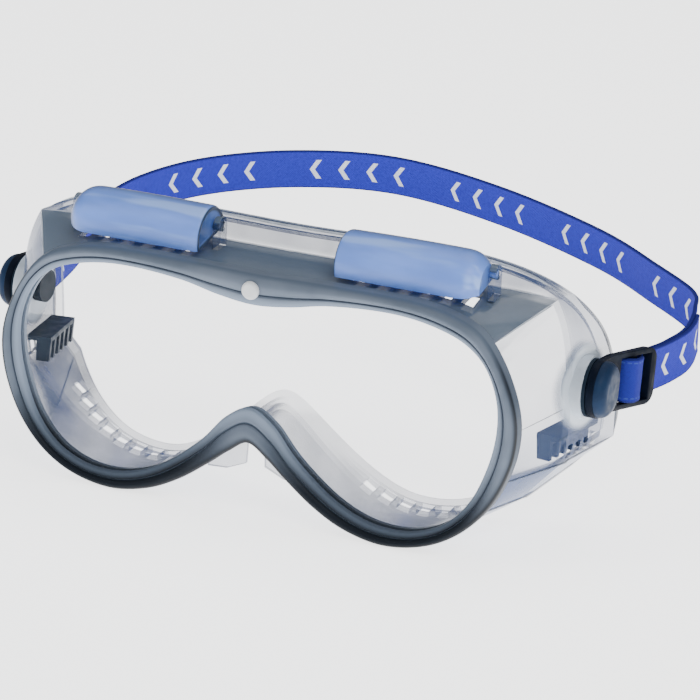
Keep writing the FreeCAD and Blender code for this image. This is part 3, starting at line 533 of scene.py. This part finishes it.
LENS_OPENING = (
    (0, -5.1), (11, -3.9), (22, -1.6), (35, -0.4), (46, -0.5), (56, -2.2), (64, -5.2), (70, -10.4),
    (73.7, -18.6), (74.6, -27.6), (72.9, -38.1), (68.4, -49.6), (61.5, -57.8), (52.5, -62.2), (43, -63),
    (34, -61), (25, -56.2), (15, -48), (7.5, -39.6), (0, -35.6),
)
RIM_OUTSIDE = (
    (0, 3.9), (13, 4.2), (24, 4.4), (36, 4.5), (48, 4.2), (58.5, 2.5), (67.5, -1.4), (74, -9.4),
    (78.8, -20), (80.4, -29.5), (78.8, -40), (73.8, -51.2), (66, -60.2), (56, -66), (43.5, -68.4),
    (31.5, -66.3), (21.5, -61.5), (12.5, -55), (6.5, -50.2), (0, -46.3),
)
# Front of the rim's section: share of the way from the opening to the outside, and depth.
RIM_FACE = ((0.0, 3.1), (0.03, 2.1), (0.1, 1.6), (0.2, 1.25), (0.32, 1.0), (0.375, 1.4), (0.41, 1.45),
            (0.45, 0.85), (0.53, 0.35), (0.62, 0.05), (0.72, 0.05), (0.83, 0.5), (0.93, 1.4), (0.985, 2.7),
            (1.0, 4.2))
RIM_BACK = ((1.0, 7.0), (0.06, 7.0), (0.03, 5.3), (0.38, 5.3), (0.38, 3.1))


def both_halves(half):
    """A whole closed outline from its right half, which starts and ends in the middle."""
    return [Vector(p) for p in half] + [Vector((-p[0], *p[1:])) for p in reversed(half[1:-1])]


def make_rim(material):
    """Bead round the lens with its groove line."""
    opening = smooth_loop(both_halves(LENS_OPENING), 8)
    outside = smooth_loop(both_halves(RIM_OUTSIDE), 8)
    face = smooth_line([Vector(p) for p in RIM_FACE], 4)
    section = face + [Vector(p) for p in RIM_BACK]
    points = []
    uvs = []
    for index, (inner, outer) in enumerate(zip(opening, outside)):
        for share, depth in section:
            spot = inner.lerp(outer, share)
            points.append(at(spot.x, depth, spot.y))
            uvs.append((index / len(opening), share))
    faces = grid_faces(len(opening), len(section), True, True)
    rim = add_mesh("rim_bead", points, faces, material, "goggles", uvs)
    mark_sharp(rim, 40)
    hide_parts("lens_rim")


def mark_sharp(piece, degrees):
    """Keep edges sharper than an angle crisp under smooth shading."""
    shape = bmesh.new()
    shape.from_mesh(piece.data)
    for edge in shape.edges:
        edge.smooth = len(edge.link_faces) == 2 and edge.calc_face_angle(0) < math.radians(degrees)
    bmesh.ops.recalc_face_normals(shape, faces=shape.faces)
    shape.to_mesh(piece.data)
    shape.free()


# ---------------------------------------------------------------- edges of the shell

# Right halves of the shell's edges: sideways, depth and rise.
LEDGE_LINE = ((0, 26, 4.9), (20, 26, 5), (40, 26, 5), (56, 26, 5), (71, 26, 5), (81.4, 26, 4.4))
STEP_LINE = ((0, 28, 11.7), (20, 28, 12), (40, 28.3, 12.2), (56, 29, 11.7), (70.5, 30, 9.1), (81.4, 31, 4.2))
BROW_LINE = ((0, 32, 11.6), (20, 32, 11.9), (40, 32.5, 12.1), (56, 33, 11.6), (70.5, 35, 8.6),
             (81.4, 39, 2.8))
TEMPLE_EDGE = ((81.4, 39, 2.8), (88, 46, -7.6), (90.9, 51, -19.6), (91.9, 54, -31.6), (91.6, 54, -42.1))
UPPER_CREASE = ((69.8, 7, -5.6), (75.6, 16.5, -0.6), (81.4, 26, 4.4))
LOWER_CREASE = ((74.6, 7, -45.4), (85.9, 26, -43), (86.8, 31, -42.8), (91.6, 54, -42.1))
FACET_CREASE = ((68.6, 7, -55.6), (74.8, 26, -55.5), (76.4, 31, -55), (83.8, 53, -49.1))
PARTING_LINE = ((78.5, 7.4, -29.4), (83.2, 17, -27.3), (87.6, 26.5, -25.2))


def tube(name, line, radius, material):
    """Fine round bead along a line, drawn out to nothing at its ends."""
    count = 8
    points = []
    for index, point in enumerate(line):
        before = line[max(index - 1, 0)]
        after = line[min(index + 1, len(line) - 1)]
        forward = (after - before).normalized()
        side = forward.orthogonal().normalized()
        if abs(forward.z) < 0.9:
            side = Vector((0, 0, 1)).cross(forward).normalized()
        up = forward.cross(side)
        from_end = min(index, len(line) - 1 - index)
        reach = radius * MM * min(1.0, (from_end + 0.2) / 4)
        for step in range(count):
            angle = 2 * math.pi * step / count
            points.append(point + (side * math.cos(angle) + up * math.sin(angle)) * reach)
    faces = grid_faces(len(line), count, False, True)
    faces.append(tuple(reversed(range(count))))
    faces.append(tuple(range((len(line) - 1) * count, len(line) * count)))
    add_mesh(name, points, faces, material, "goggles")


def smooth_places(line, spacing):
    """Smooth even line in metres through places given in millimetres."""
    return even_line(smooth_line([at(*p) for p in line], 12), spacing * MM)


def make_edges(dark, pale):
    """Beads along the moulded edges of the shell, and the fine ridges on top of its step: the pale ones are
    painted highlights, the dark ones painted shade, and the dark parting line is a real seam with painted
    shade.
    """
    across = [(-x, depth, rise) for x, depth, rise in reversed(LEDGE_LINE[1:])] + list(LEDGE_LINE)
    # Painted highlight: a pale line along the foot of the step.
    tube("ledge_foot", smooth_places(across, 2), 0.35, pale)
    # Ridges on the step: the front and rear ones pale as painted highlights, the middle one dark as painted
    # shade.
    for name, share, reach, material in (("front", 0.0, 0.38, pale), ("middle", 0.4, 0.22, dark),
                                         ("rear", 0.8, 0.28, pale)):
        half = []
        for low, high in zip(STEP_LINE, BROW_LINE):
            half.append(tuple(a + share * (b - a) for a, b in zip(low, high)))
        across = [(-x, depth, rise) for x, depth, rise in reversed(half[1:])] + half
        tube("step_ridge_" + name, smooth_places(across, 2), reach, material)
    for name, side in SIDES:
        # The pale upper crease is a painted highlight; the dark temple edge and creases are painted shade,
        # and so is the parting line, which is also a real seam.
        for label, line, reach, material in (("temple_edge", TEMPLE_EDGE, 0.5, dark),
                                             ("upper_crease", UPPER_CREASE, 0.25, pale),
                                             ("lower_crease", LOWER_CREASE, 0.3, dark),
                                             ("facet_crease", FACET_CREASE, 0.3, dark),
                                             ("parting_line", PARTING_LINE, 0.14, dark)):
            there = [(side * x, depth, rise) for x, depth, rise in line]
            tube("%s_%s" % (label, name), smooth_places(there, 1.5), reach, material)


# ---------------------------------------------------------------- hoods

# Lengths of the rounding at a hood's two ends, and its profile: first angle and sweep in degrees.
INNER_ROUNDING = 1.2
OUTER_ROUNDING = 7.5
HOOD_FROM = -17
HOOD_SWEEP = 187
HOOD_STEPS = 30
PIN_PROFILE = ((0, 0), (1.2, 0), (1.5, 0.3), (1.5, 2.4), (1.2, 2.7), (0, 2.7))


def keep_order(mesh):
    """Write a mesh again with points and faces in order of place: solidify's order is new in each run."""
    order = sorted(range(len(mesh.vertices)), key=lambda index: tuple(mesh.vertices[index].co))
    points = [tuple(mesh.vertices[index].co) for index in order]
    rank = {index: place for place, index in enumerate(order)}
    faces = []
    for polygon in mesh.polygons:
        corners = [rank[index] for index in polygon.vertices]
        first = corners.index(min(corners))
        faces.append(corners[first:] + corners[:first])
    mesh.clear_geometry()
    mesh.from_pydata(points, [], sorted(faces))
    for polygon in mesh.polygons:
        polygon.use_smooth = True
    mesh.update()


def hood_radius(reach):
    """Radius of a hood at a distance from its inner end: small corner inside, long round-over outside."""
    inner = max(0.0, 1.0 - reach / INNER_ROUNDING)
    outer = max(0.0, 1.0 - (HOOD_LENGTH - reach) / OUTER_ROUNDING)
    return HOOD_RADIUS * (1.0 - 0.07 * inner ** 2 - 0.36 * outer ** 3)


def make_hood(name, side, material):
    """Crowned hood with closed ends, a sunk round face at its inner end and a pin at each end."""
    reaches = [0, 0.15, 0.4, 0.8, 1.2, 3, 8, 14, 20, 26, 31, 34.5]
    reaches += [HOOD_LENGTH - r for r in (7, 6, 5, 4, 3, 2.2, 1.4, 0.8, 0.3, 0)]
    angles = [math.radians(HOOD_FROM + HOOD_SWEEP * step / HOOD_STEPS) for step in range(HOOD_STEPS + 1)]
    points = []
    for reach in reaches:
        radius = hood_radius(reach)
        for angle in angles:
            crown = 1.0 + 0.03 * math.sin(math.pi * reach / HOOD_LENGTH)
            points.append(at(side * (HOOD_START + reach), HOOD_CENTRE[0] - radius * math.cos(angle),
                             HOOD_CENTRE[1] + radius * math.sin(angle) * crown))
    faces = grid_faces(len(reaches), len(angles), False, False)
    faces.append(tuple(range(len(angles))))
    last = (len(reaches) - 1) * len(angles)
    faces.append(tuple(reversed(range(last, last + len(angles)))))
    hood = add_mesh("vent_hood_" + name, points, faces, material, name + "_hood")
    shape = bmesh.new()
    shape.from_mesh(hood.data)
    bmesh.ops.recalc_face_normals(shape, faces=shape.faces)
    shape.faces.ensure_lookup_table()
    # The last two faces are the ends. The inner one is sunk.
    bmesh.ops.inset_individual(shape, faces=[shape.faces[-2]], thickness=1.4 * MM, depth=-0.5 * MM)
    bmesh.ops.recalc_face_normals(shape, faces=shape.faces)
    bmesh.ops.solidify(shape, geom=list(shape.faces), thickness=HOOD_WALL * MM)
    bmesh.ops.recalc_face_normals(shape, faces=shape.faces)
    shape.to_mesh(hood.data)
    shape.free()
    keep_order(hood.data)
    mark_sharp(hood, 35)
    for end, reach in (("inner", -2.1), ("outer", HOOD_LENGTH - 0.6)):
        lathe("hood_pin_%s_%s" % (end, name), PIN_PROFILE, at(side * (HOOD_START + reach), *PIN_CENTRE),
              Vector((side, 0, 0)), material, name + "_hood")
    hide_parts("hood_" + name)


def lathe(name, profile, base, direction, material, body):
    """Turned piece: profile pairs are radius and height along direction, in millimetres."""
    turn = direction.to_track_quat("Z", "Y")
    count = 40
    points = []
    for radius, height in profile:
        for step in range(count):
            angle = 2 * math.pi * step / count
            local = Vector((radius * math.cos(angle), radius * math.sin(angle), height)) * MM
            points.append(base + turn @ local)
    faces = grid_faces(len(profile), count, False, True)
    piece = add_mesh(name, points, faces, material, body)
    shape = bmesh.new()
    shape.from_mesh(piece.data)
    bmesh.ops.remove_doubles(shape, verts=shape.verts, dist=1e-7)
    bmesh.ops.recalc_face_normals(shape, faces=shape.faces)
    shape.to_mesh(piece.data)
    shape.free()
    mark_sharp(piece, 50)


# ---------------------------------------------------------------- headband

# Outer ply of the webbing from the right clip round the back to the left one: sideways, depth and rise.
STRAP_LOOP = (
    (96.6, 62.5, -24.2), (99.3, 73, -24.4), (102.2, 86, -23.0), (100.8, 98.5, -20.4), (94.8, 110.5, -18.8),
    (78.8, 125, -17.3), (52, 147.5, -15.8), (9, 171, -14.0), (-32, 182, -12.8), (-64, 172, -13.0),
    (-88, 149, -14.2), (-100.1, 122, -16.8), (-102.1, 96, -20.8), (-99.2, 74, -24.3), (-96.6, 62.5, -24.2),
)
STRAP_WIDTH = 13.0
STRAP_THICK = 1.2
PLY_GAP = 0.1
TAIL = 36.0
# Clips: the inner face, where they bend outwards and by how much, their slope, length and the bar's place.
CLIP_FACE = 91.4
CLIP_BEND = 7.5
CLIP_SPLAY = math.radians(16)
CLIP_DROOP = math.radians(5)
CLIP_LENGTH = 28
BAR = 17.25
TURN_OUT = 1.25
TURN_RADIUS = 2.6


def clip_point(side, along, out):
    """Point a distance along a clip and out from its inner face."""
    x = side * (CLIP_FACE + math.tan(CLIP_SPLAY) * (along - CLIP_BEND) + out)
    return at(x, CLIP_PIVOT[0] + along * math.cos(CLIP_DROOP), CLIP_PIVOT[1] - along * math.sin(CLIP_DROOP))


def clip_turn(side):
    """Webbing from the outer ply under the frame, round the bar and back inside."""
    points = [clip_point(side, 27.4, -0.8), clip_point(side, 24.8, -0.75), clip_point(side, BAR + 5.4, 0.5),
              clip_point(side, BAR + 3.4, 2.75)]
    for degrees in (80, 48, 16, -16, -48, -80):
        angle = math.radians(degrees)
        points.append(clip_point(side, BAR - TURN_RADIUS * math.cos(angle),
                                 TURN_OUT + TURN_RADIUS * math.sin(angle)))
    points.append(clip_point(side, 21.9, -2.1))
    points.append(clip_point(side, 27.4, -2.2))
    return points


def strap_up(point):
    """Direction across the webbing's width: square to the clips beside them, upright further back."""
    depth = (point.y - RIM_FRONT) / MM - CLIP_PIVOT[0] - CLIP_LENGTH
    share = min(1.0, max(0.0, depth / TAIL))
    return Matrix.Rotation(-CLIP_DROOP * (1 - share), 3, "X") @ Vector((0, 0, 1))


def strap_line():
    """The whole webbing from tail to tail: outer tails, the turns at the clips, and the main ply."""
    step = 1.5
    loop = even_line(smooth_line([at(*p) for p in STRAP_LOOP], 24), step * MM)
    far = round(TAIL / step)
    main = []
    for index, point in enumerate(loop):
        before = loop[max(index - 1, 0)]
        after = loop[min(index + 1, len(loop) - 1)]
        inward = Vector((0, 0, 1)).cross(after - before).normalized()
        from_end = min(index, len(loop) - 1 - index) * step
        share = min(1.0, max(0.0, (TAIL + 12 - from_end) / 10))
        main.append(point + inward * (STRAP_THICK + PLY_GAP) * MM * share)
    right_tail = loop[3:far:4][::-1]
    left_tail = loop[-4:-far - 1:-4]
    return right_tail + clip_turn(1) + main[6:-6:4] + clip_turn(-1)[::-1] + left_tail


def make_strap():
    """Elastic webbing with thicker woven edges."""
    line = even_line(smooth_line(strap_line(), 6), 0.9 * MM)
    half = STRAP_WIDTH / 2
    thick = STRAP_THICK / 2
    section = [(-half, 0.2), (-half, -0.2), (-half + 0.25, -thick), (-half + 0.9, -thick),
               (-half + 1.3, -thick * 0.8), (0, -thick * 0.86), (half - 1.3, -thick * 0.8),
               (half - 0.9, -thick), (half - 0.25, -thick)]
    section += [(-across, -out) for across, out in section]
    points = []
    uvs = []
    distance = 0.0
    for index, point in enumerate(line):
        before = line[max(index - 1, 0)]
        after = line[min(index + 1, len(line) - 1)]
        distance += (point - before).length
        forward = (after - before).normalized()
        side = strap_up(point).cross(forward).normalized()
        up = forward.cross(side).normalized()
        for across, out in section:
            points.append(point + up * across * MM + side * out * MM)
            uvs.append((distance, across * MM))
    faces = grid_faces(len(line), len(section), False, True)
    count = len(section)
    faces.append(tuple(reversed(range(count))))
    faces.append(tuple(range((len(line) - 1) * count, len(line) * count)))
    strap = add_mesh("webbing", points, faces, webbing_weave(distance), "headband", uvs)
    mark_sharp(strap, 60)
    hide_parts("head_strap")


# ---------------------------------------------------------------- everything

place_camera()
make_studio()

shell = clear_shell()
rim = smoke_rim()
lens = clear_lens()
frost = frosted()
navy = moulded("clip_navy", (0.002, 0.004, 0.01), (0.004, 0.008, 0.018), 0.4, 0.8, 0.05)
dome = moulded("cap_navy", (0.008, 0.02, 0.05), (0.013, 0.03, 0.07), 0.42, 0.8, 0.08)
black = moulded("button_black", (0.007, 0.014, 0.024), (0.012, 0.022, 0.036), 0.4, 0.8, 0.05)
slate = moulded("vent_slate", (0.012, 0.023, 0.042), (0.022, 0.038, 0.064), 0.45, 0.6, 0.12)
white = moulded("stud_white", (0.62, 0.64, 0.66), (0.7, 0.71, 0.72), 0.4, 1.0, 0.4)

keep = {"frame_skirt": shell, "lens": lens, "stud_washer": white, "nose_flap_left": shell,
        "nose_flap_right": shell, "strap_button_left": black, "strap_button_right": black,
        "button_washer_left": black, "button_washer_right": black, "lens_stud": white}
for node, material in keep.items():
    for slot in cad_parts[node].material_slots:
        slot.material = material

make_rim(rim)
# Pale beads are painted highlights and dark beads painted shade along the shell's edges.
make_edges(painted_edge_light("edge_painted_shade", (0.05, 0.075, 0.12), 0.6),
           painted_edge_light("edge_painted_highlight", (0.75, 0.82, 0.9), 0.7))
make_strap()
for name, side in SIDES:
    make_hood(name, side, frost)
    rounded_copy("side_vent_" + name, 0.25, slate, "goggles")
    rounded_copy("strap_clip_" + name, 0.7, navy, "headband")
    rounded_copy("clip_cap_" + name, 0.2, dome, "headband")
